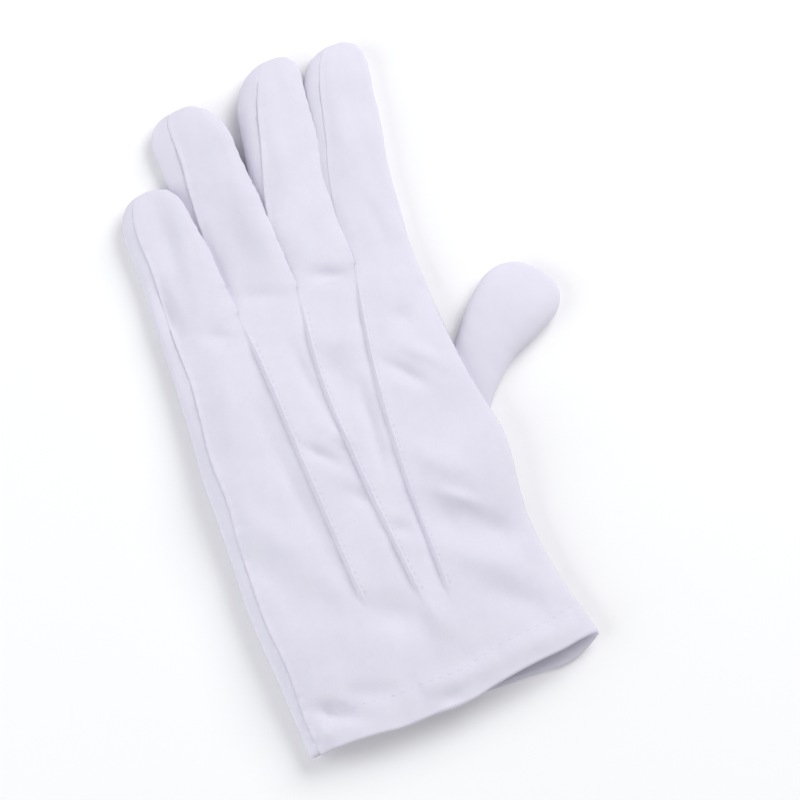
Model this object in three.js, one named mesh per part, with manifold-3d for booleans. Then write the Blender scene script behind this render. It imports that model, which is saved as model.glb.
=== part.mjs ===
// White cotton parade glove for the left hand, empty, lying with its palm down.
// Millimetres, +Z up. +Y runs from the cuff to the fingertips, +X towards the thumb.
import * as THREE from "three";
import { mergeVertices } from "three/addons/utils/BufferGeometryUtils.js";
import Module from "manifold-3d";

const { MathUtils, Vector2, Vector3 } = THREE;

// Driving sizes of the hand
const handLength = 158; // cuff edge to the crotches between the fingers
const cuffWidth = 112;
const knuckleWidth = 98; // across the roots of the four fingers
const handHeight = 17; // thickest place of the empty hand
const knuckleShift = 2.4; // the knuckles lie this far towards the thumb
const cuffBow = 3; // how far the cuff edge bows out at its middle

// Driving sizes of the fingers, each measured from its crotch to its tip
const littleLength = 58;
const ringLength = 80;
const middleLength = 84;
const indexLength = 80;
const fingerHeight = 11.5;
const fingerGap = 0.8; // between neighbouring fingers at their roots

// Driving sizes of the thumb
const thumbLength = 71; // from the end of its set-in tongue to its tip
const thumbWidth = 31;
const thumbHeight = 9.9;
const thumbTurn = 50; // degrees from the fingers' direction
const thumbRootAcross = 35.5; // place of the tongue's end in the palm
const thumbRootAlong = 87;

// Driving sizes of the cloth and its seams
const clothThickness = 1.2;
const seamGap = 0.3; // the pieces stay this far apart
const tuckRise = 1.3;
const tuckWidth = 2.2;
const gussetSeamHeight = 2.9; // lower edge of the gussets above the table
const gussetSideHeight = 5.6; // their upper edge on the side towards the little finger

// Sections of the hand. at is a share of the hand's length. left and right are shares of
// the flare between knuckle and cuff width. top, edge, seamLeft and seamRight are shares of
// the hand's height: the crest, the widest level, and the seam's level on either side.
const handSections = [
  { at: 0.0, left: 1.0, right: 1.0, top: 0.74, edge: 0.32, seamLeft: 0.56, seamRight: 0.34 },
  { at: 0.1, left: 1.0, right: 0.56, top: 0.84, edge: 0.36, seamLeft: 0.64, seamRight: 0.38 },
  { at: 0.21, left: 1.0, right: 0.2, top: 0.92, edge: 0.38, seamLeft: 0.7, seamRight: 0.42 },
  { at: 0.32, left: 1.04, right: 0.14, top: 0.96, edge: 0.4, seamLeft: 0.72, seamRight: 0.48 },
  { at: 0.39, left: 0.98, right: 0.34, top: 0.98, edge: 0.4, seamLeft: 0.73, seamRight: 0.6 },
  { at: 0.46, left: 0.84, right: 0.63, top: 1.0, edge: 0.4, seamLeft: 0.74, seamRight: 0.66 },
  { at: 0.52, left: 0.74, right: 0.66, top: 1.0, edge: 0.4, seamLeft: 0.74, seamRight: 0.66 },
  { at: 0.58, left: 0.67, right: 0.48, top: 1.0, edge: 0.4, seamLeft: 0.74, seamRight: 0.66 },
  { at: 0.67, left: 0.58, right: 0.2, top: 0.99, edge: 0.4, seamLeft: 0.73, seamRight: 0.66 },
  { at: 0.77, left: 0.32, right: 0.05, top: 0.95, edge: 0.39, seamLeft: 0.7, seamRight: 0.62 },
  { at: 0.89, left: 0.12, right: 0.0, top: 0.86, edge: 0.36, seamLeft: 0.65, seamRight: 0.46 },
  { at: 1.0, left: 0.0, right: 0.0, top: 0.71, edge: 0.31, seamLeft: 0.6, seamRight: 0.34 },
];

// The fingers from the little one to the index. root and tip are widths as shares of the
// knuckles' cloth, lean and bow carry the middle line sideways as shares of the finger's
// length, and strip is the gusset seen from above near the tip, a share of the tip width.
const fingers = [
  { name: "little", length: littleLength, root: 0.3, tip: 0.245, lean: -0.008, bow: 0.0, strip: 0.0 },
  { name: "ring", length: ringLength, root: 0.24, tip: 0.284, lean: -0.056, bow: 0.01, strip: 0.36 },
  { name: "middle", length: middleLength, root: 0.23, tip: 0.272, lean: 0.12, bow: -0.032, strip: 0.38 },
  { name: "index", length: indexLength, root: 0.23, tip: 0.276, lean: 0.175, bow: -0.017, strip: 0.28 },
];

// Height of every finger along its length, as shares of the finger height.
const fingerSections = [
  { at: -0.4, top: 1.0, edge: 0.45 },
  { at: 0.0, top: 1.06, edge: 0.45 },
  { at: 0.35, top: 1.0, edge: 0.45 },
  { at: 0.75, top: 0.94, edge: 0.45 },
  { at: 1.0, top: 0.86, edge: 0.45 },
];

// Sections of the thumb. low and high are the edges towards the cuff and the fingertips as
// shares of the thumb's width, top and edge are shares of its height.
const thumbSections = [
  { at: 0.0, low: -0.12, high: 0.14, top: 0.9, edge: 0.42 },
  { at: 0.05, low: -0.26, high: 0.3, top: 0.92, edge: 0.42 },
  { at: 0.14, low: -0.36, high: 0.39, top: 0.93, edge: 0.42 },
  { at: 0.28, low: -0.37, high: 0.41, top: 0.95, edge: 0.42 },
  { at: 0.4, low: -0.33, high: 0.43, top: 0.98, edge: 0.42 },
  { at: 0.53, low: -0.38, high: 0.47, top: 1.0, edge: 0.42 },
  { at: 0.65, low: -0.5, high: 0.51, top: 1.0, edge: 0.42 },
  { at: 0.8, low: -0.52, high: 0.5, top: 0.98, edge: 0.42 },
  { at: 1.0, low: -0.52, high: 0.48, top: 0.9, edge: 0.42 },
];

// Raised pin tucks on the back, from the cuff end to the knuckle end. across is a share of
// half the knuckle width and along a share of the hand's length.
const tucks = [
  [{ across: -0.355, along: 0.285 }, { across: -0.35, along: 0.6 }, { across: -0.343, along: 0.96 }],
  [{ across: 0.041, along: 0.25 }, { across: 0.01, along: 0.6 }, { across: 0.11, along: 0.96 }],
  [{ across: 0.245, along: 0.222 }, { across: 0.35, along: 0.6 }, { across: 0.575, along: 0.96 }],
];

// Folds and dents of the upper cloth. across and along are shares as above, long and wide
// are shares of the knuckle width, turn is in degrees from +Y towards +X, and depth is a
// share of the hand's height, below zero for a dent.
const folds = [
  { across: -0.83, along: 1.16, long: 0.13, wide: 0.07, turn: -10, depth: -0.07 },
  { across: -0.12, along: 1.06, long: 0.11, wide: 0.07, turn: 80, depth: -0.05 },
  { across: 0.42, along: 0.93, long: 0.1, wide: 0.07, turn: 95, depth: -0.07 },
  { across: 0.62, along: 0.82, long: 0.1, wide: 0.06, turn: 60, depth: 0.07 },
  { across: 0.74, along: 0.71, long: 0.1, wide: 0.06, turn: 50, depth: -0.08 },
  { across: 0.52, along: 0.72, long: 0.12, wide: 0.06, turn: -35, depth: -0.06 },
  { across: 0.66, along: 0.46, long: 0.13, wide: 0.08, turn: 70, depth: -0.13 },
  { across: 0.78, along: 0.4, long: 0.09, wide: 0.07, turn: 60, depth: 0.07 },
  { across: -0.12, along: 0.74, long: 0.1, wide: 0.07, turn: 40, depth: -0.07 },
  { across: 0.14, along: 0.86, long: 0.09, wide: 0.07, turn: 30, depth: -0.05 },
  { across: -0.62, along: 0.36, long: 0.24, wide: 0.07, turn: -38, depth: -0.09 },
  { across: -0.3, along: 0.17, long: 0.16, wide: 0.07, turn: -30, depth: 0.06 },
  { across: 0.3, along: 0.14, long: 0.2, wide: 0.07, turn: -50, depth: 0.06 },
  { across: 0.62, along: 0.2, long: 0.22, wide: 0.07, turn: -62, depth: -0.08 },
  { across: 0.05, along: 0.08, long: 0.2, wide: 0.06, turn: 84, depth: -0.06 },
  { across: -0.84, along: 0.09, long: 0.08, wide: 0.06, turn: 70, depth: -0.08 },
];

// How finely the forms are divided
const handSides = { upper: 18, under: 8 };
const fingerSides = { upper: 10, under: 5 };
const handStep = 8;
const fingerStep = 11;
const thumbStep = 8;
const tuckSteps = 9;
const seamSteps = 26;
const gussetSteps = 8;
const tipShares = [0.4, 0.7, 0.88, 0.98]; // places of the rings in a round tip
const roundness = 2.4; // exponent of the rounded sections, 2 would be an ellipse
const rootTaper = 0.12; // how fast a finger narrows inside the hand
const rootReach = 0.16; // how far a finger runs on inside the hand, a share of the hand's length
const tipRound = 0.62; // length of a round fingertip, a share of its width
const flatness = 1.25; // how far the underside would bulge if the table did not flatten it

// The seam of back and palm on the fingers, as shares of the finger height, and the places
// between which it drops from the little finger's side to the level of the other fingers, as
// shares of half the knuckle width.
const fingerSeam = { little: 0.84, others: 0.45 };
const seamDrop = { from: -0.66, to: -0.55 };

// How the gussets bite into the walls that they take over, in cloth thicknesses
const gussetBite = { web: 2.2, upper: 1.4, side: 2.6 };

const knuckleHalf = knuckleWidth / 2;
const flare = (cuffWidth - knuckleWidth) / 2;
const fingerCloth = knuckleWidth - 3 * fingerGap;
const farOut = cuffWidth + handLength;
const crotchRound = 5 * clothThickness;

const wasm = await Module();
wasm.setup();

// Reads a column of a table at a share of the way, straight between the rows.
function readTable(table, at, column) {
  const last = table.length - 1;
  let row = 0;
  while (row < last - 1 && table[row + 1].at < at) {
    row += 1;
  }
  const low = table[row];
  const high = table[row + 1];
  const share = MathUtils.clamp((at - low.at) / (high.at - low.at), 0, 1);
  return MathUtils.lerp(low[column], high[column], share);
}

// Edges and levels of the hand at a distance from the cuff.
function handAt(along) {
  const at = MathUtils.clamp(along / handLength, 0, 1);
  const shift = knuckleShift * at ** 3;
  const level = (column) => handHeight * readTable(handSections, at, column);
  return {
    left: shift - knuckleHalf - flare * readTable(handSections, at, "left"),
    right: shift + knuckleHalf + flare * readTable(handSections, at, "right"),
    top: level("top"),
    edge: level("edge"),
    seamLeft: level("seamLeft"),
    seamRight: level("seamRight"),
  };
}

// Edges and levels of a finger at a distance from its crotch, before its tip is rounded.
function fingerAt(finger, along) {
  const at = along / finger.length;
  const reach = MathUtils.clamp(at, 0, 1);
  const sideways = finger.length * (finger.lean * reach + finger.bow * 4 * reach * (1 - reach));
  const buried = rootTaper * Math.max(0, -along);
  const half = (fingerCloth * MathUtils.lerp(finger.root, finger.tip, reach)) / 2 - buried;
  const middle = finger.middle + sideways;
  return {
    left: middle - half,
    right: middle + half,
    top: fingerHeight * readTable(fingerSections, at, "top"),
    edge: fingerHeight * readTable(fingerSections, at, "edge"),
  };
}

// Edges and levels of the thumb at a distance from the end of its tongue.
function thumbAt(along) {
  const at = along / thumbLength;
  return {
    left: -thumbWidth * readTable(thumbSections, at, "high"),
    right: -thumbWidth * readTable(thumbSections, at, "low"),
    top: thumbHeight * readTable(thumbSections, at, "top"),
    edge: thumbHeight * readTable(thumbSections, at, "edge"),
  };
}

// One closed ring of a limb: a rounded section, flat where it rests, drawn in by inset.
function ring(limb, along, row, shrink, inset) {
  const middle = (row.left + row.right) / 2;
  const full = (row.right - row.left) / 2 - inset;
  const half = full - Math.min(full, limb.corner ?? full) * (1 - shrink);
  const rise = (row.top - inset - row.edge) * shrink;
  const fall = (row.edge - inset) * shrink;
  const { upper, under } = limb.sides;
  const points = [];
  for (let side = 0; side < upper + under; side += 1) {
    const over = side < upper;
    const angle = over ? (Math.PI * (side + 0.5)) / upper : Math.PI * (1 + (side - upper + 0.5) / under);
    const across = Math.sign(Math.cos(angle)) * Math.abs(Math.cos(angle)) ** (2 / roundness);
    const up = Math.abs(Math.sin(angle)) ** (2 / roundness);
    const height = over ? rise * up : -fall * Math.min(1, flatness * up);
    points.push(limb.place(middle + half * across, along, row.edge + height));
  }
  return points;
}

// All rings of a limb from its start to its rounded end, with the end's point.
function limbRings(limb, inset) {
  const end = limb.length - inset;
  const tip = limb.tip - inset;
  const straight = end - tip;
  const start = limb.start + 2 * Math.min(inset, 0);
  const count = Math.ceil((limb.length - limb.tip - limb.start) / limb.step);
  const rings = [];
  for (let index = 0; index <= count; index += 1) {
    const along = MathUtils.lerp(start, straight, index / count);
    rings.push(ring(limb, along, limb.at(along), 1, inset));
  }
  for (const share of tipShares) {
    const along = straight + tip * share;
    const shrink = (1 - share ** roundness) ** (1 / roundness);
    rings.push(ring(limb, along, limb.at(along), shrink, inset));
  }
  return rings;
}

// Closes a stack of rings into one body, with a fan over each end.
function loft(rings) {
  const sides = rings[0].length;
  const positions = rings.flat().flatMap((point) => point.toArray());
  const faces = [];
  const at = (row, side) => row * sides + (side % sides);
  for (let row = 0; row < rings.length - 1; row += 1) {
    for (let side = 0; side < sides; side += 1) {
      faces.push(at(row, side), at(row, side + 1), at(row + 1, side + 1));
      faces.push(at(row, side), at(row + 1, side + 1), at(row + 1, side));
    }
  }
  for (const row of [0, rings.length - 1]) {
    const centre = new Vector3();
    rings[row].forEach((point) => centre.addScaledVector(point, 1 / sides));
    const hub = positions.length / 3;
    positions.push(...centre.toArray());
    for (let side = 0; side < sides; side += 1) {
      const rim = row === 0 ? [side + 1, side] : [side, side + 1];
      faces.push(hub, at(row, rim[0]), at(row, rim[1]));
    }
  }
  const geometry = new THREE.BufferGeometry();
  geometry.setAttribute("position", new THREE.Float32BufferAttribute(positions, 3));
  geometry.setIndex(faces);
  return geometry;
}

// A closed geometry as a solid that can be joined and cut.
function solid(geometry) {
  const merged = mergeVertices(geometry);
  const mesh = new wasm.Mesh({
    numProp: 3,
    vertProperties: new Float32Array(merged.attributes.position.array),
    triVerts: new Uint32Array(merged.index.array),
  });
  return new wasm.Manifold(mesh);
}

// A limb as a solid. Its rings are turned round so that every face looks outwards.
function limbSolid(limb, inset) {
  return solid(loft(limbRings(limb, inset).map((points) => points.reverse())));
}

const inHand = (across, along, height) => new Vector3(across, along, height);

// The fingers stand side by side on the knuckle line.
let root = knuckleShift - knuckleHalf;
for (const finger of fingers) {
  const width = fingerCloth * finger.root;
  finger.middle = root + width / 2;
  root += width + fingerGap;
}

const hand = {
  at: handAt,
  place: inHand,
  sides: handSides,
  step: handStep,
  start: 0,
  length: handLength,
  tip: crotchRound,
  corner: crotchRound,
};

const fingerLimbs = fingers.map((finger) => ({
  at: (along) => fingerAt(finger, along),
  place: (across, along, height) => inHand(across, handLength + along, height),
  sides: fingerSides,
  step: fingerStep,
  start: -rootReach * handLength,
  length: finger.length,
  tip: tipRound * finger.tip * fingerCloth,
}));

const turn = MathUtils.degToRad(thumbTurn);
const thumb = {
  at: thumbAt,
  place: (across, along, height) => new Vector3(
    thumbRootAcross + across * Math.cos(turn) + along * Math.sin(turn),
    thumbRootAlong - across * Math.sin(turn) + along * Math.cos(turn),
    height,
  ),
  sides: fingerSides,
  step: thumbStep,
  start: 0,
  length: thumbLength,
  tip: thumbWidth / 2,
};

// The whole hand with its fingers, as an outer and an inner form.
function handForm(inset) {
  const opening = inset > 0 ? { ...hand, start: -cuffBow } : hand;
  return fingerLimbs.reduce((form, limb) => form.add(limbSolid(limb, inset)), limbSolid(opening, inset));
}

// The seam that parts back and palm: its level over any place of the glove.
function seamLevel(side, along) {
  const row = handAt(Math.min(along, handLength));
  const onFingers = MathUtils.smoothstep(along, 0.9 * handLength, 1.02 * handLength);
  const fingerLevel = fingerHeight * (side < 0 ? fingerSeam.little : fingerSeam.others);
  return MathUtils.lerp(side < 0 ? row.seamLeft : row.seamRight, fingerLevel, onFingers);
}

// Everything above (way 1) or below (way -1) the seam, kept half a gap away from it.
function seamSide(way) {
  const rings = [];
  const longest = Math.max(...fingers.map((finger) => finger.length));
  for (let index = 0; index <= seamSteps; index += 1) {
    const share = index / seamSteps;
    const along = MathUtils.lerp(-2 * cuffBow, handLength + longest + fingerHeight, share);
    const low = seamLevel(-1, along) + (way * seamGap) / 2;
    const high = seamLevel(1, along) + (way * seamGap) / 2;
    const far = way * farOut;
    rings.push([
      inHand(-farOut, along, far),
      inHand(farOut, along, far),
      inHand(farOut, along, high),
      inHand(seamDrop.to * knuckleHalf, along, high),
      inHand(seamDrop.from * knuckleHalf, along, low),
      inHand(-farOut, along, low),
    ]);
  }
  return solid(loft(way > 0 ? rings : rings.map((points) => points.reverse())));
}

// An upright block over a strip of the plan, from its left edge to its right edge.
function planBlock(stations, low, high) {
  const rings = stations.map(({ along, left, right }) => [
    inHand(left, along, high),
    inHand(right, along, high),
    inHand(right, along, low),
    inHand(left, along, low),
  ]);
  return solid(loft(rings));
}

// The space that a gusset takes: the side of one finger, the web and the side of the next.
function gussetSpace(before, after, grow) {
  const start = -gussetBite.web * clothThickness - grow;
  const reach = Math.max(before.length, after.length) + fingerHeight;
  const far = [];
  const near = [];
  for (let index = 0; index <= gussetSteps; index += 1) {
    const along = MathUtils.lerp(start, reach, index / gussetSteps);
    const left = fingerAt(before, along);
    const right = fingerAt(after, along);
    const middle = (left.right + right.left) / 2;
    const share = MathUtils.clamp(along / after.length, 0, 1);
    const strip = gussetBite.upper * clothThickness + after.strip * fingerCloth * after.tip * share;
    far.push({
      along: handLength + along,
      left: Math.min(middle, right.left - fingerGap / 2) - fingerGap / 4 - grow,
      right: right.left + strip + grow,
    });
    near.push({
      along: handLength + along,
      left: left.right - gussetBite.side * clothThickness - grow,
      right: Math.max(middle, left.right + fingerGap / 2) + fingerGap / 4 + grow,
    });
  }
  const upper = planBlock(far, gussetSeamHeight - grow, farOut);
  const lower = planBlock(near, gussetSeamHeight - grow, gussetSideHeight + grow);
  return upper.add(lower);
}

// Top of the upper cloth of the hand before it is folded.
function backLevel(across, along) {
  const row = handAt(along);
  const half = (row.right - row.left) / 2;
  const share = Math.min(1, Math.abs(across - (row.left + row.right) / 2) / half);
  return row.edge + (row.top - row.edge) * (1 - share ** roundness) ** (1 / roundness);
}

// A pin tuck: a narrow ridge along a bent line, which fades towards the cuff.
function tuckSolid(route) {
  const line = new THREE.SplineCurve(
    route.map(({ across, along }) => new Vector2(across * knuckleHalf, along * handLength)),
  );
  const rings = [];
  for (let index = 0; index <= tuckSteps; index += 1) {
    const share = index / tuckSteps;
    const point = line.getPoint(share);
    const level = backLevel(point.x, point.y);
    const fade = MathUtils.smoothstep(share, -0.05, 0.25) * (1 - 0.6 * MathUtils.smoothstep(share, 0.85, 1));
    const foot = level - clothThickness / 2;
    rings.push([
      inHand(point.x - tuckWidth / 2, point.y, foot),
      inHand(point.x - tuckWidth / 8, point.y, level + tuckRise * fade),
      inHand(point.x + tuckWidth / 4, point.y, level + tuckRise * fade),
      inHand(point.x + tuckWidth / 2, point.y, foot),
    ]);
  }
  return solid(loft(rings));
}

// Folds lift or press the upper cloth, and the cuff edge bows out at its middle.
function fold(point) {
  const { x, y, z } = point;
  const row = handAt(Math.min(Math.max(y, 0), handLength));
  const inner = Math.min(row.top, fingerHeight) - clothThickness;
  const hold = MathUtils.smoothstep(z, row.edge, inner);
  let lift = 0;
  for (const { across, along, long, wide, turn: way, depth } of folds) {
    const angle = MathUtils.degToRad(way);
    const east = x - across * knuckleHalf;
    const north = y - along * handLength;
    const down = (east * Math.sin(angle) + north * Math.cos(angle)) / (long * knuckleWidth);
    const over = (east * Math.cos(angle) - north * Math.sin(angle)) / (wide * knuckleWidth);
    lift += depth * handHeight * Math.exp(-down * down - over * over);
  }
  const bow = cuffBow * (1 - (x / (cuffWidth / 2)) ** 2) * (1 - MathUtils.smoothstep(y, 0, 0.2 * handLength));
  return [x, y - Math.max(0, bow), z + lift * hold];
}

// A solid as a named mesh of the glove.
function piece(name, form, colour) {
  const mesh = form.getMesh();
  const positions = [];
  for (let index = 0; index < mesh.vertProperties.length; index += mesh.numProp) {
    const [x, y, z] = mesh.vertProperties.slice(index, index + 3);
    positions.push(...fold({ x, y, z }));
  }
  const geometry = new THREE.BufferGeometry();
  geometry.setAttribute("position", new THREE.Float32BufferAttribute(positions, 3));
  geometry.setIndex(Array.from(mesh.triVerts));
  const cloth = new THREE.MeshStandardMaterial({ color: colour, roughness: 0.9, metalness: 0 });
  const result = new THREE.Mesh(geometry, cloth);
  result.name = name;
  return result;
}

const handOuter = handForm(0);
const handInner = handForm(clothThickness);
const thumbOuter = limbSolid(thumb, 0);
const thumbInner = limbSolid(thumb, clothThickness);
const thumbSpace = limbSolid(thumb, -seamGap);

const handShell = handOuter.subtract(handInner).subtract(thumbSpace);
const thumbShell = thumbOuter.subtract(thumbInner).subtract(handInner);

const gaps = fingers.slice(1).map((after, index) => [fingers[index], after]);
const cleared = gaps.reduce(
  (form, [before, after]) => form.subtract(gussetSpace(before, after, seamGap / 2)),
  handShell,
);
const back = tucks.reduce((form, route) => form.add(tuckSolid(route)), cleared.intersect(seamSide(1)));
const palm = cleared.intersect(seamSide(-1));

const glove = new THREE.Group();
glove.add(piece("back_panel", back, 0xe9e7f3));
glove.add(piece("palm_panel", palm, 0xe6e4f0));
glove.add(piece("thumb", thumbShell, 0xe8e6f2));
for (const [before, after] of gaps) {
  const name = `gusset_${before.name}_${after.name}`;
  const form = handShell.intersect(gussetSpace(before, after, -seamGap / 2));
  glove.add(piece(name, form, 0xe4e2ee));
}

// The origin is the middle of the glove's footprint, on the surface that it lies on.
const box = new THREE.Box3().setFromObject(glove);
const centre = box.getCenter(new Vector3());
glove.position.set(-centre.x, -centre.y, -box.min.z);

export default glove;
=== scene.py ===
import math
import bpy
import numpy as np
from mathutils import Matrix, Vector


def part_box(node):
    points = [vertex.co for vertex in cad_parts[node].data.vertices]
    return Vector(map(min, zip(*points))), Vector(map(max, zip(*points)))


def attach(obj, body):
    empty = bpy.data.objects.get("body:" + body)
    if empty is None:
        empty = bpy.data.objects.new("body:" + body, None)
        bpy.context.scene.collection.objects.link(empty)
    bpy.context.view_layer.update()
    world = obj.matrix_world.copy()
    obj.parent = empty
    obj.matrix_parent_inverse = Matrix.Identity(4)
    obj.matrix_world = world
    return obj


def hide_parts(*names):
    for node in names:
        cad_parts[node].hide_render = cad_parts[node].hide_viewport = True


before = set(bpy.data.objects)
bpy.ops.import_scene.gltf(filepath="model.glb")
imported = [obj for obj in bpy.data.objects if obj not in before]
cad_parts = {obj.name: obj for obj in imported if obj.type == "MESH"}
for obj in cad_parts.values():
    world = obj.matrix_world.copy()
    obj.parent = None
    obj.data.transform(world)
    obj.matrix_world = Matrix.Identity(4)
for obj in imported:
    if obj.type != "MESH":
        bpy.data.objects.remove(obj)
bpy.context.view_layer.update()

mm = 0.001
glove = {
    "handLength": 158.0,     # cuff edge to the crotches, in millimetres like all sizes here
    "cuffWidth": 112.0,
    "knuckleWidth": 98.0,
    "knuckleShift": 2.4,     # the knuckles lie towards the thumb
    "cuffBow": 3.0,          # the cuff edge bows out at its middle
    "roundness": 2.4,        # exponent of the rounded sections
    "outerPower": 2.6,       # and of the upper section beside the little finger's edge
    "underFlat": 1.35,       # how strongly the underside is flattened
    "cloth": 0.9,            # wall of one layer
    "lowest": 0.02,          # the cloth stays this far above the surface that it lies on
}
handTable = {                # rows from the cuff to the crotches: shares of the flare, and heights
    "at":        [0.0, 0.10, 0.21, 0.32, 0.39, 0.46, 0.52, 0.58, 0.67, 0.77, 0.89, 1.0],
    "left":      [1.0, 1.00, 1.00, 1.04, 0.98, 0.84, 0.74, 0.67, 0.58, 0.32, 0.12, 0.0],
    "right":     [1.0, 0.56, 0.20, 0.14, 0.34, 0.63, 0.66, 0.48, 0.20, 0.05, 0.0, 0.0],
    "top":       [12.6, 14.3, 15.6, 16.3, 16.7, 17.0, 17.0, 17.0, 16.8, 16.2, 14.6, 12.3],
    "edgeLeft":  [5.4, 6.1, 6.4, 6.6, 6.7, 6.8, 6.8, 6.8, 6.8, 6.6, 6.0, 5.2],
    "edgeRight": [6.4, 6.6, 6.8, 7.6, 8.8, 9.8, 10.2, 10.0, 9.4, 8.2, 6.4, 5.2],
}
fingerRows = [
    # root and tip are shares of the cloth's width, lean and bow go sideways in shares of the length, strip
    # is how far the left seam lies on top of the tip, shoulder and cheek swell the right and the left edge,
    # levels are the heights of those edges, and top and tilt the height and slope of the crest
    {"length": 56, "root": 0.30, "tip": 0.235, "lean": 0.012, "bow": 0.0,                       # little
     "shoulder": 0, "cheek": 0, "levels": (5.0, 6.6), "tilt": 2.4, "top": 10.9},
    {"length": 80, "root": 0.24, "tip": 0.278, "lean": -0.038, "bow": 0.01, "strip": 9.0,       # ring
     "shoulder": 0.2, "cheek": 2.2, "levels": (4.4, 6.8), "tilt": 4.0, "top": 10.9},
    {"length": 84, "root": 0.23, "tip": 0.262, "lean": 0.145, "bow": -0.032, "strip": 9.0,      # middle
     "shoulder": 0, "cheek": 3.0, "levels": (4.8, 6.8), "tilt": -0.4, "top": 11.8},
    {"length": 80, "root": 0.23, "tip": 0.276, "lean": 0.175, "bow": -0.017, "strip": 7.4,      # index
     "shoulder": 0, "cheek": 1.8, "levels": (6.0, 5.4), "tilt": -1.1, "top": 11.6},
]
fingerForm = {
    "gap": 0.8,              # between neighbouring fingers' cloth at the crotches
    "over": 1.1,             # a finger's right edge lies this far over the next one's gusset
    "under": 0.5,            # and its left edge this far under the one before it
    "leftPower": 1.9,        # how square the two sides of the section are
    "rightPower": 3.0,
    "tipLength": 0.62,       # of the rounded tip, in widths of the finger there
    "wobble": 0.35,          # soft waves of the edges
    "crestWave": 0.5,        # soft waves of the crest, and its dip between the edges
    "crestDip": 0.35,
    "underFlat": 1.5,        # how strongly the underside is flattened
}
sheetGrid = {                # columns of each sheet, and rows over the hand, along a finger, round its tip
    "back":   {"columns": (62, 38, 38, 62), "rows": (150, 56, 14)},
    "palm":   {"columns": (44, 28, 28, 40), "rows": (100, 40, 12)},
    "gusset": {"columns": 16, "rows": (2, 60, 14)},
    "thumb":  {"columns": 73, "rows": (70, 14)},
}

# the cuff's middle, from which the millimetres are counted, and its place in the frame
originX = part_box("palm_panel")[0][0] / mm + glove["cuffWidth"] / 2
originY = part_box("back_panel")[0][1] / mm + glove["cuffBow"]


def toFrame(points):         # millimetres from the cuff's middle to metres in the frame
    return (np.asarray(points) + (originX, originY, 0)) * mm


def smooth(a, b, x):         # 3t2 - 2t3 between a and b
    t = np.clip((np.asarray(x, float) - a) / (b - a), 0, 1)
    return t * t * (3 - 2 * t)


def curveThrough(places, values, at):   # cubic pieces through the rows, slopes from the neighbours
    places = np.asarray(places, float)
    values = np.asarray(values, float)
    slopes = np.gradient(values, places)
    at = np.clip(at, places[0], places[-1])
    k = np.clip(np.searchsorted(places, at) - 1, 0, len(places) - 2)
    h = places[k + 1] - places[k]
    t = (at - places[k]) / h
    return ((2 * t**3 - 3 * t**2 + 1) * values[k] + (t**3 - 2 * t**2 + t) * h * slopes[k]
            + (3 * t**2 - 2 * t**3) * values[k + 1] + (t**3 - t**2) * h * slopes[k + 1])


def waves(x, y, size, seed, count=14):  # smooth noise, a sum of plane waves about one size long
    rng = np.random.default_rng(seed)
    total = np.zeros(np.broadcast(x, y).shape)
    for _ in range(count):
        turn, phase = rng.uniform(0, 2 * np.pi, 2)
        length = size * rng.uniform(0.7, 1.6)
        total += np.sin(2 * np.pi * (x * np.cos(turn) + y * np.sin(turn)) / length + phase)
    return total / math.sqrt(count)


def rounded(v):              # |v|^(2/n), which makes a circle's sine and cosine those of a squarer section
    return np.abs(v) ** (2 / glove["roundness"])


def crosswise(theta):        # where an angle lies across the strip, from -1 at its left to 1 at its right
    return np.sign(np.cos(theta)) * rounded(np.cos(theta))


def softCap(v):              # v up to 1, rounded off into 1: 1 - ln(1 + e^(8 - 8v)) / 8
    return 1 - np.log1p(np.exp(8 - 8 * v)) / 8


def handEdges(y):            # left and right outline of the hand
    at = np.clip(y / glove["handLength"], 0, 1)
    half = glove["knuckleWidth"] / 2
    flare = glove["cuffWidth"] / 2 - half
    shift = glove["knuckleShift"] * at**3
    left = shift - half - flare * curveThrough(handTable["at"], handTable["left"], at)
    right = shift + half + flare * curveThrough(handTable["at"], handTable["right"], at)
    return left, right


clothWidth = glove["knuckleWidth"] - 3 * fingerForm["gap"]
rootEdge = glove["knuckleShift"] - glove["knuckleWidth"] / 2
for finger in fingerRows:
    finger["left"] = rootEdge
    finger["right"] = rootEdge + clothWidth * finger["root"]
    rootEdge = finger["right"] + fingerForm["gap"]
crotchX = [(a["right"] + b["left"]) / 2 for a, b in zip(fingerRows, fingerRows[1:])]

tuck = {
    "rise": 1.45, "runOut": 1.9,         # the welt's height, and how slowly it runs out
    "groove": 0.8, "grooveWidth": 3.0,   # the groove at its foot
    "stitch": 2.0, "climb": 0.6,         # its stitches' distance, and the slope's extra cloth
    "channel": 0.08,                     # how far they pull the cloth down
    "lines": [                           # places across at distances from the cuff, on to the finger gap
        {"start": 42, "end": 150,
         "y": [0, 44.6, 95, 142, 158], "x": [-18.2, -17.4, -17.3, -16.9, crotchX[0]]},
        {"start": 36, "end": 152,
         "y": [0, 39, 90, 122.5, 158], "x": [3.2, 2.0, 0.4, 0.9, crotchX[1]]},
        {"start": 33, "end": 152,
         "y": [0, 35, 80, 107, 150, 158], "x": [7.5, 11.8, 14.6, 17.8, 26.8, crotchX[2]]},
    ],
}


def tuckX(index, y):         # a tuck's place across at a distance from the cuff
    line = tuck["lines"][index]
    return curveThrough(line["y"], line["x"], y)


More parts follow.
